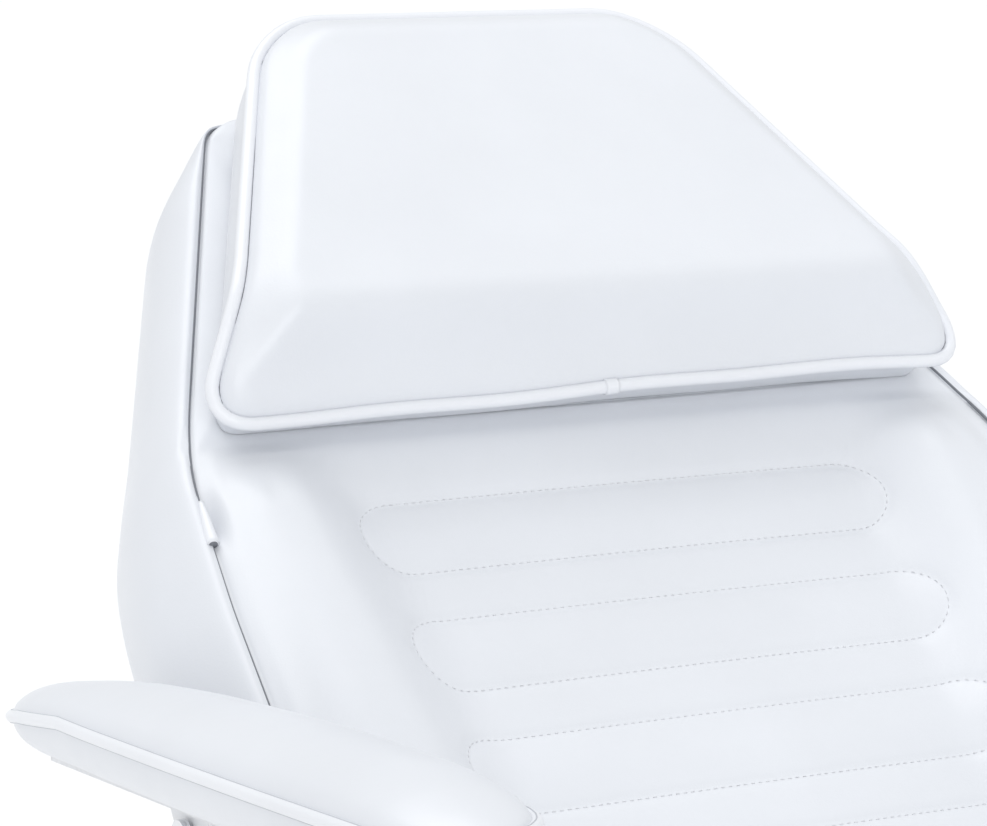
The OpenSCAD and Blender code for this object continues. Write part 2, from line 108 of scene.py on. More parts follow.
def node(tree, kind, **values):
    """A shader node; each value goes to its property or, failing that, to its input."""
    n = tree.nodes.new(kind)
    for key, value in values.items():
        if hasattr(n, key):
            setattr(n, key, value)
        else:
            n.inputs[key.replace("_", " ")].default_value = value
    return n


def object_coords(tree):
    return node(tree, "ShaderNodeTexCoord").outputs["Object"]


def noise(tree, coords, scale, detail=4.0, rough=0.5):
    n = node(tree, "ShaderNodeTexNoise")
    n.inputs["Scale"].default_value = scale
    n.inputs["Detail"].default_value = detail
    n.inputs["Roughness"].default_value = rough
    tree.links.new(coords, n.inputs["Vector"])
    return n.outputs["Fac"]


def ramp(tree, fac, stops):
    """Colours along fac, from a list of (position, colour)."""
    r = node(tree, "ShaderNodeValToRGB")
    elements = r.color_ramp.elements
    while len(elements) < len(stops):
        elements.new(0.5)
    for e, (pos, colour) in zip(elements, stops):
        e.position = pos
        e.color = (*colour, 1)
    tree.links.new(fac, r.inputs["Fac"])
    return r.outputs["Color"]


def span(tree, fac, low, high, out_low, out_high):
    """Maps fac from low..high to out_low..out_high."""
    m = node(tree, "ShaderNodeMapRange", From_Min=low, From_Max=high, To_Min=out_low, To_Max=out_high)
    tree.links.new(fac, m.inputs["Value"])
    return m.outputs["Result"]


def eased_edges(tree, radius=0.0009):
    """Normal that rounds off the sharp edges of machined and moulded pieces."""
    return node(tree, "ShaderNodeBevel", samples=4, Radius=radius).outputs["Normal"]


def bump(tree, height, strength, distance, normal=None):
    b = node(tree, "ShaderNodeBump")
    b.inputs["Strength"].default_value = strength
    b.inputs["Distance"].default_value = distance
    tree.links.new(height, b.inputs["Height"])
    if normal is not None:
        tree.links.new(normal, b.inputs["Normal"])
    return b.outputs["Normal"]


def vinyl(name, tint, rough=(0.36, 0.46), grain=0.12):
    """Smooth coated upholstery: very fine pebble grain, soft mottling and faint handling marks."""
    mat, tree, shader = material(name)
    coords = object_coords(tree)
    tone = noise(tree, coords, 9.0, 3.0)
    dark = tuple(c * 0.965 for c in tint)
    tree.links.new(ramp(tree, tone, [(0.3, dark), (0.7, tint)]), shader.inputs["Base Color"])
    wear = noise(tree, coords, 38.0, 5.0, 0.6)
    tree.links.new(span(tree, wear, 0.3, 0.7, *rough), shader.inputs["Roughness"])
    cells = node(tree, "ShaderNodeTexVoronoi", feature="SMOOTH_F1")
    cells.inputs["Scale"].default_value = 900.0
    tree.links.new(coords, cells.inputs["Vector"])
    fine = bump(tree, cells.outputs["Distance"], grain, 0.0003)
    pull = noise(tree, coords, 55.0, 2.0)
    soft = bump(tree, pull, 0.06, 0.002, fine)
    tree.links.new(soft, shader.inputs["Normal"])
    shader.inputs["Specular IOR Level"].default_value = 0.42
    shader.inputs["Coat Weight"].default_value = 0.3
    shader.inputs["Coat Roughness"].default_value = 0.32
    shader.inputs["Sheen Weight"].default_value = 0.05
    return mat


def metal(name, tint, rough, streak=None, spots=0.02):
    """Bright metal; streak stretches the noise along one axis for a brushed or turned finish."""
    mat, tree, shader = material(name)
    coords = object_coords(tree)
    shader.inputs["Metallic"].default_value = 1.0
    if streak is not None:
        mapping = node(tree, "ShaderNodeMapping")
        mapping.inputs["Scale"].default_value = streak
        tree.links.new(coords, mapping.inputs["Vector"])
        coords = mapping.outputs["Vector"]
    grain = noise(tree, coords, 120.0, 6.0, 0.6)
    smear = noise(tree, coords, 14.0, 3.0)
    dark = tuple(c * (1 - 4 * spots) for c in tint)
    tree.links.new(ramp(tree, smear, [(0.3, dark), (0.65, tint)]), shader.inputs["Base Color"])
    tree.links.new(span(tree, grain, 0.25, 0.75, *rough), shader.inputs["Roughness"])
    tree.links.new(bump(tree, grain, 0.05, 0.0005, eased_edges(tree)), shader.inputs["Normal"])
    return mat


def coated(name, tint, rough, peel=0.15, scale=420.0, wear=0.05):
    """Paint, plastic or rubber: a skin with fine orange peel or mould texture."""
    mat, tree, shader = material(name)
    coords = object_coords(tree)
    tone = noise(tree, coords, 16.0, 5.0, 0.6)
    dark = tuple(c * (1 - wear) for c in tint)
    tree.links.new(ramp(tree, tone, [(0.35, dark), (0.65, tint)]), shader.inputs["Base Color"])
    skin = noise(tree, coords, scale, 3.0)
    tree.links.new(span(tree, skin, 0.3, 0.7, *rough), shader.inputs["Roughness"])
    tree.links.new(bump(tree, skin, peel, 0.0006, eased_edges(tree)), shader.inputs["Normal"])
    return mat


def plywood(name):
    """Plain wood with its grain along x."""
    mat, tree, shader = material(name)
    coords = object_coords(tree)
    mapping = node(tree, "ShaderNodeMapping")
    mapping.inputs["Scale"].default_value = (1.0, 9.0, 9.0)
    tree.links.new(coords, mapping.inputs["Vector"])
    fibre = noise(tree, mapping.outputs["Vector"], 28.0, 8.0, 0.65)
    colour = ramp(tree, fibre, [(0.3, (0.46, 0.32, 0.19)), (0.7, (0.66, 0.5, 0.32))])
    tree.links.new(colour, shader.inputs["Base Color"])
    tree.links.new(span(tree, fibre, 0.3, 0.7, 0.55, 0.75), shader.inputs["Roughness"])
    tree.links.new(bump(tree, fibre, 0.3, 0.0008, eased_edges(tree)), shader.inputs["Normal"])
    return mat


MATERIALS = {
    "vinyl": vinyl("white_vinyl", (0.745, 0.764, 0.802)),
    "piping": vinyl("piping_vinyl", (0.81, 0.825, 0.86), rough=(0.3, 0.4), grain=0.08),
    "vinyl_rear": vinyl("rear_vinyl", (0.75, 0.77, 0.81), rough=(0.42, 0.55)),
    # Grey for the lines beside the armrest piping: painted shade in its seams.
    "thread_and_seam_shade": coated("thread_and_seam_shade", (0.58, 0.6, 0.64), (0.7, 0.85), peel=0.5, scale=1500.0),
    # Near black for cords laid in seams and in the welt's open end: painted shadow.
    "shadow": coated("seam_shadow", (0.2, 0.21, 0.235), (0.8, 0.9), peel=0.4, scale=1500.0),
    "stitch": coated("stitch_thread", (0.86, 0.87, 0.9), (0.5, 0.65), peel=0.5, scale=2500.0),
    "paint": coated("white_powder_coat", (0.78, 0.79, 0.81), (0.3, 0.42), peel=0.2, wear=0.04),
    "chrome": metal("chrome_plate", (0.82, 0.83, 0.85), (0.05, 0.11)),
    "steel": metal("machined_steel", (0.5, 0.51, 0.53), (0.24, 0.4), streak=(1.0, 1.0, 14.0)),
    "rubber": coated("black_rubber", (0.022, 0.022, 0.024), (0.6, 0.8), peel=0.3, scale=700.0, wear=0.3),
    "plastic": coated("black_plastic", (0.03, 0.03, 0.033), (0.38, 0.52), peel=0.3, scale=900.0, wear=0.2),
    "wood": plywood("birch_plywood"),
    "floor": coated("pale_floor", (0.93, 0.93, 0.93), (0.5, 0.6), peel=0.02, wear=0.01),
}


# ---------------------------------------------------------------- mesh tools

def add_object(name, verts, faces, mat, smooth=True):
    mesh = bpy.data.meshes.new(name)
    mesh.from_pydata(np.asarray(verts).tolist(), [], faces)
    mesh.validate()
    mesh.update()
    if smooth:
        mesh.polygons.foreach_set("use_smooth", [True] * len(mesh.polygons))
    mesh.materials.append(MATERIALS[mat])
    obj = bpy.data.objects.new(name, mesh)
    bpy.context.scene.collection.objects.link(obj)
    return obj


def coordinates(mesh):
    """The vertices of a mesh, one row each."""
    co = np.empty(len(mesh.vertices) * 3)
    mesh.vertices.foreach_get("co", co)
    return co.reshape(-1, 3)


def set_coordinates(mesh, co):
    """Moves the vertices of a mesh to the rows of co."""
    mesh.vertices.foreach_set("co", np.asarray(co, float).ravel())
    mesh.update()


def evaluated_coordinates(obj):
    shown = obj.evaluated_get(bpy.context.evaluated_depsgraph_get())
    return coordinates(shown.data)


def bake_modifiers(obj):
    """Puts what the modifiers make into the mesh itself."""
    depsgraph = bpy.context.evaluated_depsgraph_get()
    mesh = bpy.data.meshes.new_from_object(obj.evaluated_get(depsgraph))
    obj.modifiers.clear()
    obj.data = mesh


def resample(path, step, closed):
    """Evenly spaced points along a path, about a step apart."""
    pts = np.vstack([path, path[:1]]) if closed else np.asarray(path)
    length = np.concatenate([[0], np.cumsum(np.linalg.norm(np.diff(pts, axis=0), axis=1))])
    count = max(4, int(round(length[-1] / step)))
    at = np.linspace(0, length[-1], count + 1)[:-1 if closed else None]
    return np.stack([np.interp(at, length, pts[:, k]) for k in range(3)], axis=1)


def tangents(path, closed):
    """Unit directions of a path at its points."""
    if closed:
        t = np.roll(path, -1, axis=0) - np.roll(path, 1, axis=0)
    else:
        t = np.gradient(path, axis=0)
    return t / np.linalg.norm(t, axis=1, keepdims=True)


def tube(name, path, radius, mat, closed=True, sides=10, up=None, radii=None):
    """Round cord along a path in metres; up gives a steady direction for its cross-section."""
    path = np.asarray(path, float)
    t = tangents(path, closed)
    up = np.broadcast_to(np.array((0.0, 0.0, 1.0)) if up is None else up, path.shape)
    a = np.cross(t, up)
    a /= np.linalg.norm(a, axis=1, keepdims=True)
    b = np.cross(t, a)
    r = np.full(len(path), radius) if radii is None else np.asarray(radii)
    verts, faces = [], []
    for k in range(sides):
        turn = 2 * math.pi * k / sides
        verts.append(path + r[:, None] * (math.cos(turn) * a + math.sin(turn) * b))
    verts = np.concatenate(verts)
    n = len(path)
    for k in range(sides):
        k2 = (k + 1) % sides
        for i in range(n if closed else n - 1):
            j = (i + 1) % n
            faces.append((k * n + i, k * n + j, k2 * n + j, k2 * n + i))
    if not closed:
        faces.append(tuple(k * n for k in range(sides)))
        faces.append(tuple(k * n + n - 1 for k in reversed(range(sides))))
    return add_object(name, verts, faces, mat)


# ---------------------------------------------------------------- padded forms

def smoothstep(x):
    x = np.clip(x, 0, 1)
    return x * x * (3 - 2 * x)


def quarter_round(d, radius):
    """0 at a boundary, 1 from radius inwards, along a quarter of an ellipse."""
    x = 1 - np.clip(d / radius, 0, 1)
    return np.sqrt(np.clip(1 - x * x, 0, 1))


def corner_inset(distance, radius):
    """How far a rounded corner pulls the side in, at a distance before the end."""
    x = np.clip(1 - np.asarray(distance, float) / radius, 0, 1)
    return radius * (1 - np.sqrt(np.clip(1 - x * x, 0, 1)))


def row_places(s0, s1, step, r0, r1):
    """Row positions from s0 to s1, closer together in corners of radius r0 and r1."""
    bend = np.linspace(0, math.pi / 2, 8)
    low = s0 + r0 * (1 - np.cos(bend)) if r0 else np.array([s0])
    high = s1 - r1 * (1 - np.cos(bend[::-1])) if r1 else np.array([s1])
    count = max(2, int(round((high[0] - low[-1]) / step)))
    return np.concatenate([low[:-1], np.linspace(low[-1], high[0], count + 1), high[1:]])


def left_of(line):
    """Unit directions to the left of a closed line of (x, s) points."""
    t = tangents(np.pad(line, ((0, 0), (0, 1))), True)
    return np.stack([-t[:, 1], t[:, 0]], axis=1)


FULL_BOXING = 60.0      # boxing at least this high swells fully


class Pad:
    """Closed upholstered form: a panel on a grid, boxing walls round it and a flat back.

    left(s) and right(s) bound the panel on each of the rows. top(x, s, d) is its height, where d is
    the distance to its edge, rim(x, s) the height of that edge and base(x, s) that of the boxing's
    foot. walls lists the boxing's rings as (how far out, part of the way down, lift), and tuck, if
    given, changes how far out a ring stands.
    """

    def __init__(self, name, place, rows, left, right, top, rim, walls, base, step, mat="vinyl",
                 tuck=None):
        self.place = place
        lo, hi = left(rows), right(rows)
        cols = int(round((hi - lo).max() / step))
        t = np.linspace(0, 1, cols + 1)
        t = t - 0.3 * np.sin(2 * math.pi * t) / (2 * math.pi)
        x = lo[:, None] + (hi - lo)[:, None] * t[None, :]
        s = np.broadcast_to(rows[:, None], x.shape)
        nr, nc = x.shape
        ids = np.arange(nr * nc).reshape(nr, nc)
        loop = np.concatenate([ids[:, 0], ids[-1, 1:], ids[-2::-1, -1], ids[0, -2:0:-1]])
        self.outline = np.stack([x.ravel()[loop], s.ravel()[loop]], axis=1)
        d = self.distance(x.ravel(), s.ravel())
        n = top(x.ravel(), s.ravel(), d)
        edge = rim(*self.outline.T)
        n[loop] = edge
        out = left_of(self.outline)
        self.out, self.edge = out, edge
        height = edge - base(*self.outline.T)
        scale = np.clip(height / FULL_BOXING, 0.0, 1.0)
        pts = [np.stack([x.ravel(), s.ravel(), n], axis=1)]
        rings = [loop]
        start = nr * nc
        for push, part, lift in walls:
            if tuck is not None:
                push = tuck(push, part, *self.outline.T)
            ring = self.outline + out * (push * scale)[:, None]
            level = edge - height * part + lift * scale
            pts.append(np.column_stack([ring, level]))
            rings.append(np.arange(start, start + len(loop)))
            start += len(loop)
        pts = np.concatenate(pts)
        faces = []
        for i in range(nr - 1):
            for j in range(nc - 1):
                faces.append((ids[i, j], ids[i, j + 1], ids[i + 1, j + 1], ids[i + 1, j]))
        for upper, lower in zip(rings, rings[1:]):
            for k in range(len(loop)):
                k2 = (k + 1) % len(loop)
                faces.append((upper[k], upper[k2], lower[k2], lower[k]))
        faces = [tuple(int(v) for v in f) for f in faces]
        self.obj = add_object(name, place.world(*pts.T), faces, mat)
        self.fixed = np.concatenate([rings[0], rings[-1], rings[-2]])
        self.foot = rings[-1]
        self.rows_count, self.cols_count = nr, nc

    def distance(self, x, s):
        """Distance from points to the outline."""
        best = np.full(len(x), np.inf)
        a = self.outline
        b = np.roll(a, -1, axis=0)
        ab = b - a
        length2 = np.maximum((ab ** 2).sum(axis=1), 1e-9)
        for part in np.array_split(np.arange(len(x)), max(1, len(x) // 2000)):
            p = np.stack([x[part], s[part]], axis=1)[:, None, :]
            t = np.clip(((p - a) * ab).sum(axis=2) / length2, 0, 1)
            gap = np.linalg.norm(p - (a + t[..., None] * ab), axis=2)
            best[part] = gap.min(axis=1)
        return best

    def local(self):
        """The vertices in the pad's own frame, in millimetres."""
        co = coordinates(self.obj.data) - self.place.origin
        return co @ self.place.axes.T / MM

    def rim_path(self, outwards=0.0, up=0.0, step=5.0):
        """The rim as a closed path in metres, moved outwards and up in millimetres."""
        ring = self.outline + self.out * outwards
        path = self.place.world(ring[:, 0], ring[:, 1], self.edge + up)
        return resample(path, step * MM, True)

    def puff(self, pressure, cap, slack=0.0, frames=20):
        """Inflates the cover by cloth simulation, held along its seams, each move capped."""
        obj = self.obj
        group = obj.vertex_groups.new(name="seams")
        group.add([int(i) for i in self.fixed], 1.0, "REPLACE")
        cloth = obj.modifiers.new("cloth", "CLOTH")
        settings = cloth.settings
        settings.quality = 4
        settings.mass = 0.35
        settings.tension_stiffness = 22
        settings.compression_stiffness = 18
        settings.shear_stiffness = 8
        settings.bending_stiffness = 3.0
        settings.vertex_group_mass = "seams"
        settings.use_pressure = True
        settings.uniform_pressure_force = pressure
        settings.shrink_min = -slack
        settings.effector_weights.gravity = 0
        cloth.point_cache.frame_start = 1
        cloth.point_cache.frame_end = frames
        scene = bpy.context.scene
        before = coordinates(obj.data)
        for f in range(1, frames + 1):
            scene.frame_set(f)
        after = evaluated_coordinates(obj)
        obj.modifiers.clear()
        obj.vertex_groups.clear()
        scene.frame_set(1)
        move = after - before
        move = np.where(np.isfinite(move), move, 0)
        size = np.maximum(np.linalg.norm(move, axis=1, keepdims=True), 1e-9)
        limit = cap * MM
        set_coordinates(obj.data, before + move / size * limit * np.tanh(size / limit))

    def refine(self, levels):
        sub = self.obj.modifiers.new("sub", "SUBSURF")
        sub.levels = sub.render_levels = levels
        bake_modifiers(self.obj)
        self.close_back()

    def close_back(self):
        """Closes the open back with a strip of faces from side to side, row by row."""
        bm = bmesh.new()
        bm.from_mesh(self.obj.data)
        bm.verts.ensure_lookup_table()
        beside = {}
        for edge in bm.edges:
            if edge.is_boundary:
                a, b = (v.index for v in edge.verts)
                beside.setdefault(a, []).append(b)
                beside.setdefault(b, []).append(a)
        first = int(self.foot[0])
        split = len(beside) // len(self.foot)
        loops = []
        for step in beside[first]:
            walk = [first, step]
            while len(walk) < len(beside):
                a, b = beside[walk[-1]]
                walk.append(b if a == walk[-2] else a)
            loops.append(walk)
        loop = next(w for w in loops if w[split] == int(self.foot[1]))
        side = split * (self.rows_count - 1)
        end = split * (self.cols_count - 1)
        left = loop[:side + 1]
        far = loop[side:side + end + 1]
        right = loop[side + end:2 * side + end + 1][::-1]
        near = loop[2 * side + end:] + [first]
        faces = [[left[1]] + near[::-1] + [right[1]]]
        faces += [[a, b, c, d] for a, b, c, d in zip(left[1:-2], left[2:-1], right[2:-1], right[1:-2])]
        faces.append([left[-2]] + far + [right[-2]])
        for face in faces:
            bm.faces.new([bm.verts[i] for i in face]).smooth = False
        bmesh.ops.recalc_face_normals(bm, faces=bm.faces)
        bm.to_mesh(self.obj.data)
        bm.free()

    def shape(self, change):
        """Adds change(x, s, n, d) to n on the front panel; d is the distance to the rim."""
        pts = self.local()
        d = self.distance(pts[:, 0], pts[:, 1])
        delta = change(pts[:, 0], pts[:, 1], pts[:, 2], d)
        pts[:, 2] += delta
        set_coordinates(self.obj.data, self.place.world(*pts.T))


# ---------------------------------------------------------------- stitched channels

CHANNEL_PITCH = 81.0
CHANNEL_R = 24.0
CHANNEL_HALF = 167.0


def channel_gap(x, s, s_mid, half):
    """Signed distance to a stadium-shaped stitch line round (0, s_mid)."""
    across = np.maximum(np.abs(x) - (half - CHANNEL_R), 0)
    return np.hypot(across, s - s_mid) - CHANNEL_R


def channel_relief(x, s, mids, half, depth=1.0, puff=1.3):
    """Grooves along the stitch lines and the soft swelling between them."""
    relief = np.zeros_like(x)
    for mid in mids:
        gap = channel_gap(x, s, mid, half)
        relief -= depth * np.exp(-(gap / 3.2) ** 2) + 0.6 * np.exp(-(gap / 8.0) ** 2)
        relief += puff * smoothstep(-gap / CHANNEL_R)
    return relief


def stadium(mid, half):
    """Points a stitch pitch apart along the line round a channel."""
    run = 2 * (half - CHANNEL_R)
    total = 2 * run + 2 * math.pi * CHANNEL_R
    count = int(total / STITCH_PITCH)
    pts = []
    for k in range(count):
        u = total * k / count
        if u < run:
            pts.append((-run / 2 + u, mid - CHANNEL_R))
        elif u < run + math.pi * CHANNEL_R:
            a = (u - run) / CHANNEL_R - math.pi / 2
            pts.append((run / 2 + CHANNEL_R * math.cos(a), mid + CHANNEL_R * math.sin(a)))
        elif u < 2 * run + math.pi * CHANNEL_R:
            pts.append((run / 2 - (u - run - math.pi * CHANNEL_R), mid + CHANNEL_R))
        else:
            a = (u - 2 * run - math.pi * CHANNEL_R) / CHANNEL_R + math.pi / 2
            pts.append((-run / 2 + CHANNEL_R * math.cos(a), mid + CHANNEL_R * math.sin(a)))
    return np.array(pts)


def surface_height(obj, place, x, s):
    """Height n of an object's surface over points of a place, found by casting rays down."""
    depsgraph = bpy.context.evaluated_depsgraph_get()
    shown = obj.evaluated_get(depsgraph)
    down = Vector(-place.axes[2])
    above = ((coordinates(shown.data) - place.origin) @ place.axes[2]).max() / MM + 20
    heights = np.zeros(len(x))
    start = place.world(x, s, np.full(len(x), above))
    for k, p in enumerate(start):
        hit, where, _, _ = shown.ray_cast(Vector(p), down)
        if hit:
            heights[k] = (np.array(where) - place.origin) @ place.axes[2] / MM
    return heights


def stitches(name, obj, place, lines, length=2.8, thick=0.25):
    """Short thread stitches lying on the surface along closed lines of (x, s) points."""
    verts, faces = [], []
    for line in lines:
        side = left_of(line)
        along_line = np.stack([side[:, 1], -side[:, 0]], axis=1)
        n = surface_height(obj, place, line[:, 0], line[:, 1])
        for p, d, w, level in zip(line, along_line, side, n):
            base = len(verts)
            for along, lift in ((-0.5, -0.3), (-0.25, 0.15), (0.25, 0.15), (0.5, -0.3)):
                for a in (0, 90, 180, 270):
                    off = thick * math.cos(math.radians(a))
                    high = thick * math.sin(math.radians(a))
                    q = p + d * along * length + w * off
                    verts.append((q[0], q[1], level + lift + high))
            for ring in range(3):
                for a in range(4):
                    b = (a + 1) % 4
                    r0, r1 = base + 4 * ring, base + 4 * ring + 4
                    faces.append((r0 + a, r0 + b, r1 + b, r1 + a))
            faces.append((base + 3, base + 2, base + 1, base))
            faces.append((base + 12, base + 13, base + 14, base + 15))
    return add_object(name, place.world(*np.array(verts).T), faces, "stitch")


# ---------------------------------------------------------------- backrest

def back_half(s_p):
    """Half width of the backrest's front panel between its seams."""
    s = s_p - PILLOW_S
    knots_s = [-600, -510, -440, -350, -270, -200, -110, -60, -22, -3, 20, 274]
    knots_w = [231, 231, 233, 247, 262, 266, 263, 259, 255, 250, 243, 147]
    w = sum(np.interp(s + k, knots_s, knots_w) for k in (-9, -3, 3, 9)) / 4
    return w - corner_inset(BACK_END - s_p, BACK_CORNER)


def crease_half(s_p):
    """Half width of the sunken middle panel, at the foot of the bolsters' inner slopes."""
    s = s_p - PILLOW_S
    return np.interp(s, [-510, -230, -15, 60], [150, 155, 172, 182])


def round_end(s_p):
    """Front surface: flat along the back, round about the tilt axis at its lower end."""
    return np.sqrt(np.maximum(SURFACE ** 2 - np.minimum(s_p, 0) ** 2, 16.0))


def back_rim(x, s_p):
    """Height of the seam round the backrest's front panel."""
    s = s_p - PILLOW_S
    rise = np.interp(s, [-420, -300, -180, -30, 0, 40], [0, 4, 8, 4, 0, -3])
    top_drop = 10 * smoothstep((s_p - BACK_LEN + 26) / 26) ** 2
    end = np.clip((s_p + SURFACE) / SURFACE, 0, 1)
    return round_end(s_p) + rise - top_drop - 3 * (1 - end)


def bolster_shape(x, half, crease):
    """How far across a bolster x lies, its crest, and the slope up to it from the middle."""
    across = (np.abs(x) - crease) / np.maximum(half - crease, 20)
    crest = np.sin(math.pi * np.clip(across * 0.86 + 0.14, 0, 1)) ** 0.8
    slope = smoothstep((np.abs(x) - crease + 26) / 62)
    return across, crest, slope


def back_top(x, s_p, d):
    """Bolsters at the sides, a sunken middle, and none of either under the head pillow."""
    s = s_p - PILLOW_S
    crease = crease_half(s_p)
    fade = smoothstep((10 - s) / 60) * smoothstep((s_p + 20) / 120)
    t, crest, slope = bolster_shape(x, back_half(s_p), crease)
    bolster = (back_rim(x, s_p) - round_end(s_p)) * smoothstep(t) + 12 * crest * (t > -0.2)
    dish = -13 * (1 - slope)
    middle = 1.5 * (1 - (np.abs(x) / np.maximum(crease, 1)) ** 2).clip(0, 1)
    lift = np.where(t > -0.16, bolster * slope, 0) + dish + middle
    edge = 4.0 * (1 - quarter_round(d, 12))
    return round_end(s_p) + lift * fade - edge * smoothstep((s_p + 60) / 60)


BACK_WALL = [(2.5, 0.0, 3.5), (8, 0.03, 3.0), (14, 0.14, 0), (17.5, 0.32, 0), (18.5, 0.5, 0),
             (18, 0.68, 0), (16.5, 0.85, 0), (15, 0.95, 0), (12, 1.0, 0), (-8, 1.0, 0)]


def back_swell(push, part, x, s_p):
    """The boxing swells most beside the sitter's back."""
    more = smoothstep((s_p - 120) / 160) * smoothstep((560 - s_p) / 120)
    swell = 1 + 0.5 * more * smoothstep(part / 0.5)
    return push * swell * hinge_taper(s_p) * (1 - 0.85 * smoothstep((s_p - 706) / 63))


def hinge_taper(s_p):
    """Keeps the boxing inside the round end that turns about a tilt axis."""
    return 0.1 + 0.9 * smoothstep((s_p + 70) / 75)


def leg_swell(push, part, x, t):
    """The leg rest's boxing is even but for its hinge end."""
    return push * hinge_taper(t)


def back_base(x, s_p):
    """Back edge of the boxing; it comes forward towards the head end."""
    lift = 20 * np.clip((s_p - PILLOW_S + 10) / (BACK_LEN - PILLOW_S + 10), 0, 1)
    return np.full_like(x, PAD_FOOT_N) + lift


def hinged_rows(s1, step, r1):
    """Rows round the hinge end of a panel and on to s1, where its corners have radius r1."""
    end = np.sin(np.linspace(-math.pi / 2, 0, 9))[:-1] * (SURFACE - 3.0)
    return np.concatenate([end, row_places(0, s1, step, 0, r1)])


def make_backrest():
    """Backrest padding with its seam and a dark cord in it that paints the seam's shadow, its stitched
    channels and the open end of its welt.
    """
    rows = hinged_rows(BACK_END, 8.5, BACK_CORNER)
    pad = Pad("back_padding", back, rows, lambda s: -back_half(s), back_half, back_top, back_rim,
              BACK_WALL, back_base, step=8.5, tuck=back_swell)
    pad.puff(2.2, 3.0)
    pad.refine(2)
    mids = [PILLOW_S - 62 - CHANNEL_PITCH * k for k in range(5)]

    def detail(x, s, n, d):
        front = (n > round_end(s) - 18) & (np.abs(x) < back_half(s) - 0.5)
        relief = channel_relief(x, s, mids, CHANNEL_HALF)
        dent = 8.0 * np.exp(-((x + back_half(s) - 6) / 5) ** 2 - ((s - PILLOW_S + 48) / 17) ** 2)
        seam = 2.6 * np.exp(-(d / 2.4) ** 2)
        fade = smoothstep((s + 10) / 60)
        change = np.where(front, (relief - dent) * fade - seam, 0)
        under_pillow = smoothstep((s - PILLOW_S + 6) / 14)
        return change - under_pillow * np.maximum(n + change - SURFACE - 0.5, 0)

    pad.shape(detail)
    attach(pad.obj, "backrest")
    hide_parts("back_cushion")
    # A dark cord in the seam's groove: painted shadow along the seam.
    seam = tube("back_seam_shadow", pad.rim_path(-0.2, 0.4), 0.0008, "shadow", up=back.axes[2], sides=8)
    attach(seam, "backrest")
    lines = [stadium(m, CHANNEL_HALF) for m in mids]
    thread_and_seam_shade = stitches("back_channel_stitching", pad.obj, back, lines)
    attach(thread_and_seam_shade, "backrest")
    make_seam_end()


def make_seam_end():
    """The open end of the welt cord where the head-end cover meets the wing on the left side; a dark disc
    in its end paints the shade in the hollow.
    """
    s = np.linspace(PILLOW_S - 36, PILLOW_S - 66, 14)
    x = -back_half(s) + 0.5
    n = back_rim(x, s) + 1.5
    radii = np.interp(np.linspace(0, 1, len(s)), [0, 0.5, 1], [1.2, 2.8, 3.6]) * MM
    cord = tube("welt_end", back.world(x, s, n), 0, "piping", closed=False, sides=14,
                up=back.axes[2], radii=radii)
    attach(cord, "backrest")
    # A dark disc just inside the cord's end: painted shade in its hollow.
    tip = back.world(x[-2:], s[-2:] - 0.6, n[-2:])
    hole = tube("welt_end_hole_shadow", tip, 0, "shadow", closed=False, sides=14, up=back.axes[2],
                radii=np.array([2.6, 2.4]) * MM)
    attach(hole, "backrest")


# ---------------------------------------------------------------- head pillow

PILLOW_TOP = 274.0      # its length along the backrest
PILLOW_FOOT = 4.0       # where its seam line starts
FOOT_CORNER = 24.0
TOP_CORNER = 42.0
PILLOW_RIM = 57.5       # height of its piping over the backrest, away from the foot
PLATEAU = 75.0          # thickness of the pillow


def pillow_half(s_p):
    """Half width of the pillow, a trapezium with a flare at its foot."""
    s = s_p - PILLOW_S
    w = sum(np.interp(s + k, [0, 12, 75, PILLOW_TOP], [242.0, 239.5, 207.0, 128.5])
            for k in (-12, 0, 12)) / 3
    foot_inset = corner_inset(s - PILLOW_FOOT, FOOT_CORNER)
    return w - foot_inset - corner_inset(PILLOW_TOP - s, TOP_CORNER) * 0.9


def pillow_rim(x, s_p):
    """Height of the piping, which waves a little along the foot."""
    s = s_p - PILLOW_S
    slope = smoothstep((s - 4) / 66)
    wave = 1.3 * np.sin(x / 61.0) + 0.9 * np.sin(x / 23.0 + 1.0)
    low = 28.5 + wave + 5.5 * x / 246.0 - 3 * (x / 246.0) ** 2
    return SURFACE + low + (PILLOW_RIM - low) * slope


def pillow_top(x, s_p, d):
    """A flat plateau with sloping sides and a longer slope at the foot."""
    s = s_p - PILLOW_S
    rim = pillow_rim(x, s_p)
    foot = smoothstep(s / 44)
    reach = 25 + 22 * (1 - smoothstep((s - 10) / 60))
    level = SURFACE + PLATEAU - 26 * (1 - smoothstep((s + 4) / 52))
    rise = 0.35 * quarter_round(d, 9) + 0.65 * smoothstep(d / reach)
    return rim + (level - rim) * rise + 1.2 * foot


PILLOW_WALL = [(1.5, 0.06, 0), (3.5, 0.25, 0), (4.5, 0.5, 0), (3.0, 0.75, 0), (0, 0.93, 0),
               (-4, 1.0, 0), (-14, 1.0, 0)]


def pillow_tuck(push, part, x, s_p):
    """The boxing runs in under the foot of the pillow."""
    foot = smoothstep((PILLOW_S + 46 - s_p) / 40)
    return push * (1 - foot) - 25.0 * foot * part ** 0.75


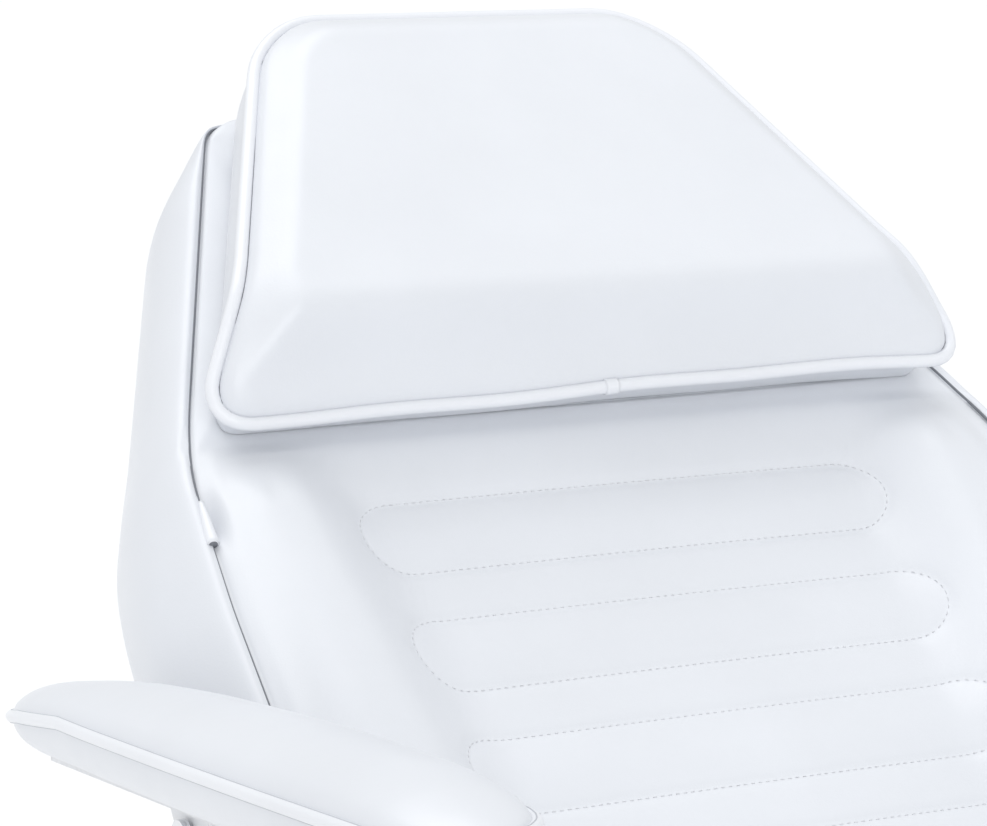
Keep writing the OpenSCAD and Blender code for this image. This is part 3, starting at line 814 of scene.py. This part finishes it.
def make_pillow():
    """Head pillow with its piping, the piping's join and a dark cord in the seam beside it that paints the
    seam's shadow.
    """
    rows = row_places(PILLOW_S + PILLOW_FOOT, PILLOW_S + PILLOW_TOP, 6.5, FOOT_CORNER, TOP_CORNER)
    pad = Pad("pillow_padding", back, rows, lambda s: -pillow_half(s), pillow_half, pillow_top,
              pillow_rim, PILLOW_WALL, lambda x, s: np.full_like(x, SURFACE + 1.2), step=6.5,
              tuck=pillow_tuck)
    pad.puff(2.0, 3.0, slack=0.004)
    pad.refine(2)
    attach(pad.obj, "headrest")
    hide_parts("headrest_pillow")
    piping = tube("pillow_piping", pad.rim_path(2.4, 0.2), 0.0038, "piping", up=back.axes[2], sides=14)
    # A dark cord in the seam inside the piping: painted shadow along it.
    thread_and_seam_shade = tube("pillow_seam_shadow", pad.rim_path(-1.6, 1.5), 0.0009, "shadow", up=back.axes[2], sides=6)
    join = tube("pillow_piping_join", piping_join(), 0.0046, "piping", closed=False, sides=12,
                up=back.axes[2])
    for piece in (piping, thread_and_seam_shade, join):
        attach(piece, "headrest")


def piping_join():
    """The short wrapped overlap where the two ends of the pillow's piping meet."""
    x = np.linspace(-4, 4, 6)
    s = np.full_like(x, PILLOW_S + PILLOW_FOOT)
    return back.world(x, s - 2.6, pillow_rim(x, s) + 0.4)


# ---------------------------------------------------------------- seat and leg rest

SEAT_HALF = 240.0
SEAT_CORNER = 26.0
SEAT_CREASE = 165.0     # foot of the bolsters, from the middle line
FLAT_WALL = [(3, 0.0, 2.5), (7, 0.05, 1), (11, 0.2, 0), (12, 0.5, 0), (12, 0.75, 0), (11.5, 0.93, 0),
             (10.5, 1.0, 0), (-8, 1.0, 0)]


def bolstered(x, half, crease, height, depth, fade):
    """Cross-section with two soft bolsters and a sunken middle."""
    t, crest, slope = bolster_shape(x, half, crease)
    return (np.where(t > -0.16, height * crest * slope, 0) - depth * (1 - slope)) * fade


def finish_pad(pad, body, node_name):
    """Declares a seat or leg pad and lays a dark cord in its seam that paints the seam's shadow."""
    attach(pad.obj, body)
    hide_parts(node_name)
    # A dark cord in the seam's groove: painted shadow along the seam.
    seam = tube(pad.obj.name + "_seam_shadow", pad.rim_path(-0.2, 0.4), 0.0007, "shadow",
                up=pad.place.axes[2], sides=8)
    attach(seam, body)


def channelled(pad, mids, half, body):
    """Presses stitched channels into a pad and lays the stitches in them."""
    top_level = pad.local()[:, 2].max()

    def detail(x, s, n, d):
        relief = channel_relief(x, s, mids, half)
        seam = 2.4 * np.exp(-(d / 2.4) ** 2)
        inside = (d > 0.5) & (n > top_level - 26)
        return np.where(inside, relief - seam, 0)

    pad.shape(detail)
    lines = [stadium(m, half) for m in mids]
    thread_and_seam_shade = stitches(pad.obj.name + "_stitching", pad.obj, pad.place, lines)
    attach(thread_and_seam_shade, body)


def make_seat():
    """Seat padding, in a frame at the middle of its CAD solid."""
    low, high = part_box("seat_cushion")
    mid_y = (low[1] + high[1]) / 2
    place = Place((0, mid_y, 0), (0, 1, 0), (0, 0, 1))
    reach = (high[1] - low[1]) / 2 / MM - 12
    crown = 9.0
    seam_level = high[2] / MM - crown
    foot_level = low[2] / MM - 0.7

    def half(s):
        return SEAT_HALF - corner_inset(reach - np.abs(s), SEAT_CORNER)

    def rim(x, s):
        return np.full_like(x, seam_level)

    def top(x, s, d):
        fade = smoothstep((reach + 10 - np.abs(s)) / 70)
        swell = crown * quarter_round(d, 34) - 3 * (1 - fade)
        return seam_level + swell + bolstered(x, SEAT_HALF, SEAT_CREASE, 7.0, 7.0, fade)

    rows = row_places(-reach, reach, 9.5, SEAT_CORNER, SEAT_CORNER)
    pad = Pad("seat_padding", place, rows, lambda s: -half(s), half, top, rim, FLAT_WALL,
              lambda x, s: np.full_like(x, foot_level), step=9.5)
    pad.puff(2.2, 4.0)
    pad.refine(2)
    channelled(pad, [CHANNEL_PITCH * (k - 1.5) for k in range(4)], 158.0, "chassis")
    finish_pad(pad, "chassis", "seat_cushion")


def leg_half(t):
    """Half width of the leg rest; t runs from its tilt axis to its foot."""
    w = np.interp(t, [-80, 330, 470], [232, 232, 214])
    return w - corner_inset(LEG_END - t, LEG_CORNER)


def leg_rim(x, t):
    """Height of the seam, lower at the foot."""
    drop = 8 * smoothstep((t - LEG_END + 20) / 20) ** 2
    return round_end(t) - 6 * smoothstep((t + 40) / 60) - drop


def leg_top(x, t, d):
    """Two bolsters and a sunken middle, fading out at both ends."""
    fade = smoothstep((t + 20) / 90) * smoothstep((470 - t) / 90)
    crown = 6 * quarter_round(d, 30) * smoothstep((t + 40) / 60)
    return leg_rim(x, t) + crown + bolstered(x, leg_half(t), 150.0, 6.0, 7.0, fade)


def make_legrest():
    """Leg rest padding."""
    rows = hinged_rows(LEG_END, 9.5, LEG_CORNER)
    pad = Pad("leg_padding", leg, rows, lambda t: -leg_half(t), leg_half, leg_top, leg_rim,
              FLAT_WALL, lambda x, t: np.full_like(x, PAD_FOOT_N), step=9.5, tuck=leg_swell)
    pad.puff(2.2, 4.0)
    pad.refine(2)
    channelled(pad, [90 + CHANNEL_PITCH * k for k in range(4)], 145.0, "legrest")
    finish_pad(pad, "legrest", "leg_cushion")


# ---------------------------------------------------------------- armrests

ARM_RIM = 48.0          # height of the piping over the flip axis
ARM_ENDS = (-309.6, 221.6)
ARM_WALL = [(0.6, 0.0, -2.0), (0.8, 0.12, 0), (-1.5, 0.4, 0), (-7, 0.68, 0), (-16, 0.88, 0),
            (-26, 1.0, 0)]


def arm_side(y, inner):
    """Outline of the leaf: inner (towards the sitter) or outer edge, from the middle line."""
    knots_y = [-300, -240, -150, -40, 60, 150, 222]
    knots_in = [-22, -31, -35, -35, -35, -28, -10]
    knots_out = [44, 45, 46, 46, 45, 41, 34]
    w = sum(np.interp(y + k, knots_y, knots_in if inner else knots_out) for k in (-24, -8, 8, 24)) / 4
    mid = np.interp(y, [-300, -200, 100, 222], [12, 4, 3, 14])
    into_end = np.maximum((y - 142) / 80, (-268 - y) / 42).clip(0, 1)
    pinch = np.sqrt(1 - into_end ** 2)
    return mid + (w - mid) * pinch


def arm_rim(x, y):
    """Height of the piping; the tip at the head end droops."""
    return np.interp(y, [-300, 90, 160, 222], [ARM_RIM, ARM_RIM - 1.5, 40.0, 30.5])


def arm_crown(y):
    """Height of the padding along its middle line."""
    knots_y = [-300, -284, -236, -112, 9, 109, 180, 222]
    knots_n = [57, 63, 69, 69.5, 66, 60, 52, 44]
    return sum(np.interp(y + k, knots_y, knots_n) for k in (-15, 0, 15)) / 3


def make_armrest(side, name):
    """Armrest leaf with its piping and two grey lines along it that paint the shade in its seams; side is
    -1 or 1.
    """
    origin = joint(f"armrest_{name}_flip")["pos_m"]
    place = tilted(origin, -ARM_SLOPE)
    rows = row_places(*ARM_ENDS, 7.0, 40.0, 40.0)

    def lo(y):
        return arm_side(y, True) if side > 0 else -arm_side(y, False)

    def hi(y):
        return arm_side(y, False) if side > 0 else -arm_side(y, True)

    def top(x, y, d):
        turn = np.interp(y, [-300, -200, 60, 150, 222], [34, 46, 47, 40, 26])
        return arm_rim(x, y) + (arm_crown(y) - arm_rim(x, y)) * quarter_round(d, turn)

    pad = Pad(f"armrest_{name}_padding", place, rows, lo, hi, top, arm_rim, ARM_WALL,
              lambda x, y: np.full_like(x, 21.5), step=6.0)
    pad.puff(2.5, 3.0)
    pad.refine(2)
    body = f"armrest_{name}"
    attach(pad.obj, body)
    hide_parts(f"armrest_cushion_{name}")
    piping = tube(body + "_piping", pad.rim_path(0.4, -0.8), 0.0033, "piping", up=place.axes[2], sides=14)
    # Grey lines along both sides of the piping: painted shade in its seams.
    upper = tube(body + "_upper_seam_shade", pad.rim_path(0.5, 2.3), 0.0004, "thread_and_seam_shade", up=place.axes[2], sides=6)
    lower = tube(body + "_lower_seam_shade", pad.rim_path(1.1, -3.9), 0.0004, "thread_and_seam_shade", up=place.axes[2], sides=6)
    for piece in (piping, upper, lower):
        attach(piece, body)


# ---------------------------------------------------------------- rear panels and flap

REAR_WALL = [(0.5, 0.3, 0), (0, 0.9, 0), (-6, 1.0, 0)]


def make_rear_panel(name, place, rows, half, body, replaced):
    """Vinyl-covered panel closing the back of a board, slightly crowned."""
    flipped = Place(place.origin, place.axes[1], -place.axes[2], -place.axes[0])
    level = 1.0 - BOARD_N

    def rim(x, s):
        return np.full_like(x, level)

    def top(x, s, d):
        return level + 2.0 * quarter_round(d, 10)

    pad = Pad(name, flipped, rows, lambda s: -half(s), half, top, rim, REAR_WALL,
              lambda x, s: np.full_like(x, level - 3.0), step=12.0, mat="vinyl_rear")
    pad.refine(1)
    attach(pad.obj, body)
    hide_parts(replaced)


def make_rear_panels():
    """Rear panels of the backrest, below the pillow, and of the leg rest."""
    make_rear_panel("back_rear_panel", back, row_places(14, PILLOW_S - 14, 14.0, 8, 12),
                    lambda s: back_half(s) + 5, "backrest", "back_cover")
    make_rear_panel("leg_rear_panel", leg, row_places(14, LEG_END - 4, 14.0, 8, 40),
                    lambda t: leg_half(t) + 3, "legrest", "leg_cover")


FLAP_HALF_THICK = 0.9


def make_flap():
    """Doubled vinyl flap over the top edge and down the rear, thinner at its sides."""
    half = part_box("headrest_flap")[1][0] / MM
    top_s = BACK_LEN + 3
    run = [(top_s, 74.5), (top_s + 0.6, 55), (top_s + 0.6, 30), (top_s, 4), (top_s - 3, -3.5),
           (top_s - 12, -6.0), (top_s - 50, -9.0), (top_s - 99, -12.5)]
    path = resample(np.array([(0, a, b) for a, b in run], float), 6.0, False)
    cols = np.linspace(-half, half, 25)
    t = tangents(path, False)
    out = np.stack([-t[:, 2], t[:, 1]], axis=1)
    verts, faces = [], []
    for layer in (FLAP_HALF_THICK, -FLAP_HALF_THICK):
        for p, o in zip(path[:, 1:], out):
            for x in cols:
                edge = 1 - 0.55 * (abs(x) / half) ** 10
                verts.append((x, *(p + o * layer * edge)))
    nr, nc = len(path), len(cols)
    for layer in (0, 1):
        for i in range(nr - 1):
            for j in range(nc - 1):
                a = layer * nr * nc + i * nc + j
                quad = (a, a + 1, a + nc + 1, a + nc)
                faces.append(quad if layer else quad[::-1])
    ids = np.arange(nr * nc).reshape(nr, nc)
    loop = np.concatenate([ids[0], ids[1:, -1], ids[-1, -2::-1], ids[-2:0:-1, 0]]).tolist()
    for a, b in zip(loop, loop[1:] + loop[:1]):
        faces.append((a, b, b + nr * nc, a + nr * nc))
    flap = add_object("pillow_flap", back.world(*np.array(verts).T), faces, "vinyl")
    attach(flap, "headrest")
    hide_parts("headrest_flap")


# ---------------------------------------------------------------- carried-over CAD nodes

def dress_cad_nodes():
    """Gives every CAD node the material of its slot in the record."""
    slots = {p["node"]: p["material_slot"] for p in frame["record"]["subparts"]}
    for name, obj in frame["nodes"].items():
        obj.data.materials.clear()
        obj.data.materials.append(MATERIALS[slots[name]])


# ---------------------------------------------------------------- studio

def sun(name, towards, strength, spread):
    """Even soft light from a direction, spread over an angle in degrees."""
    light = bpy.data.lights.new(name, "SUN")
    light.energy = strength
    light.angle = math.radians(spread)
    obj = bpy.data.objects.new(name, light)
    obj.rotation_euler = Vector(towards).to_track_quat("Z", "Y").to_euler()
    bpy.context.scene.collection.objects.link(obj)


FLOOR_HALF = 150.0


def make_studio():
    """Pale floor, bright even sky and two broad lights."""
    scene = bpy.context.scene
    scene.view_settings.view_transform = "Standard"
    world = bpy.data.worlds.new("studio")
    world.use_nodes = True
    sky = world.node_tree.nodes["Background"]
    sky.inputs["Color"].default_value = (0.97, 0.985, 1.0, 1)
    sky.inputs["Strength"].default_value = 0.77
    scene.world = world
    verts = [(x * FLOOR_HALF, y * FLOOR_HALF, 0) for x, y in ((-1, -1), (1, -1), (1, 1), (-1, 1))]
    floor = add_object("floor", verts, [(0, 1, 2, 3)], "floor", smooth=False)
    sun("overhead", (-0.05, 0.32, 1.0), 1.1, 50)
    sun("window", (-0.4, -1.0, 0.2), 1.05, 45)


CAMERA_FROM_NECK = (-0.9975, -1.79806, 0.33023)
VIEW_ROUND = 27.4151    # from straight in front, towards the sitter's right
VIEW_DOWN = 8.9655
LENS = 133.6


def make_camera():
    """Camera at the sitter's right front, aimed at the head end of the backrest."""
    neck = back.world(0.0, PILLOW_S, SURFACE)
    data = bpy.data.cameras.new("camera")
    data.lens = LENS
    data.sensor_width = 36.0
    data.clip_end = 60.0
    obj = bpy.data.objects.new("camera", data)
    obj.location = neck + CAMERA_FROM_NECK
    obj.rotation_euler = (math.radians(90 - VIEW_DOWN), 0, math.radians(-VIEW_ROUND))
    bpy.context.scene.collection.objects.link(obj)
    bpy.context.scene.camera = obj


make_camera()
make_studio()
dress_cad_nodes()
make_backrest()
make_pillow()
make_seat()
make_legrest()
make_armrest(-1, "left")
make_armrest(1, "right")
make_rear_panels()
make_flap()
